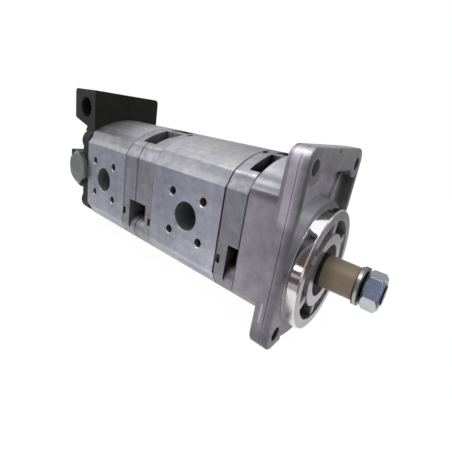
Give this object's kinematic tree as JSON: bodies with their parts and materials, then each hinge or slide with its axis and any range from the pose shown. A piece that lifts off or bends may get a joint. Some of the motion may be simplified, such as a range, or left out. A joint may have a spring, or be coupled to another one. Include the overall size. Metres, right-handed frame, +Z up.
{
  "type": "hydraulic gear pump",
  "caption": "Tandem external gear pump with a four-bolt pilot flange, taper drive shaft, flanged side ports and a cast-iron rear cover with a threaded port.",
  "frame": {"origin": "centre of the pilot in the plane of the mounting face, on the drive shaft's axis", "axes": "+X out along the drive shaft, +Z up towards the driven gears, the large ports face -Y"},
  "size_m": [0.2817, 0.0949, 0.133],
  "materials": {
    "die_cast_aluminium": "as cast, bead blasted",
    "extruded_aluminium": "sawn and milled, matte",
    "cast_iron": "dark, as cast",
    "hard_steel": "ground",
    "zinc_steel": "bright zinc",
    "olive_zinc_steel": "yellow-grey zinc",
    "spring_steel": "dull",
    "black_rubber": "moulded",
    "tan_sleeve": "matte",
    "bearing_bronze": "sintered",
    "block_aluminium": "machined"
  },
  "bodies": {
    "housing": {"front_flange": "die_cast_aluminium", "front_bearing_cover": "die_cast_aluminium", "front_pump_body": "extruded_aluminium", "front_pump_rear_plate": "die_cast_aluminium", "rear_pump_front_plate": "die_cast_aluminium", "rear_pump_body": "extruded_aluminium", "rear_cover": "cast_iron", "front_stage_front_block": "block_aluminium", "front_stage_rear_block": "block_aluminium", "rear_stage_front_block": "block_aluminium", "rear_stage_rear_block": "block_aluminium", "journal_bushes": "bearing_bronze", "front_cover_bush": "bearing_bronze", "shaft_seal": "black_rubber", "seal_circlip": "spring_steel", "joint_seals": "black_rubber", "shaft_passage_seals": "black_rubber", "dowel_pins": "hard_steel", "through_bolts": "zinc_steel", "hex_plug": "olive_zinc_steel", "plug_seal_ring": "olive_zinc_steel", "relief_seat": "hard_steel", "relief_spring": "spring_steel"},
    "drive_train": {"drive_shaft": "hard_steel", "shaft_key": "hard_steel", "taper_sleeve": "tan_sleeve", "spring_washer": "spring_steel", "shaft_nut": "zinc_steel", "drive_coupling": "hard_steel", "rear_drive_gear": "hard_steel"},
    "front_driven": {"front_driven_gear": "hard_steel"},
    "rear_driven": {"rear_driven_gear": "hard_steel"},
    "relief_valve": {"relief_poppet": "hard_steel"}
  },
  "joints": [
    {"name": "drive_shaft_spin", "type": "hinge", "parent": "housing", "child": "drive_train", "pos_m": [0, 0, 0], "axis": [1, 0, 0], "continuous": true},
    {"name": "front_driven_spin", "type": "hinge", "parent": "housing", "child": "front_driven", "pos_m": [0, 0, 0.032], "axis": [1, 0, 0], "continuous": true},
    {"name": "rear_driven_spin", "type": "hinge", "parent": "housing", "child": "rear_driven", "pos_m": [0, 0, 0.032], "axis": [1, 0, 0], "continuous": true},
    {"name": "relief_lift", "type": "slide", "parent": "housing", "child": "relief_valve", "axis": [0, -1, 0], "range_m": [0, 0.003], "stiffness_N_per_m": 2000, "springref_m": -0.002, "deforming": ["relief_spring"]}
  ],
  "couplings": [
    {"joint": "front_driven_spin", "follows": "drive_shaft_spin", "ratio": -1},
    {"joint": "rear_driven_spin", "follows": "drive_shaft_spin", "ratio": -1}
  ]
}
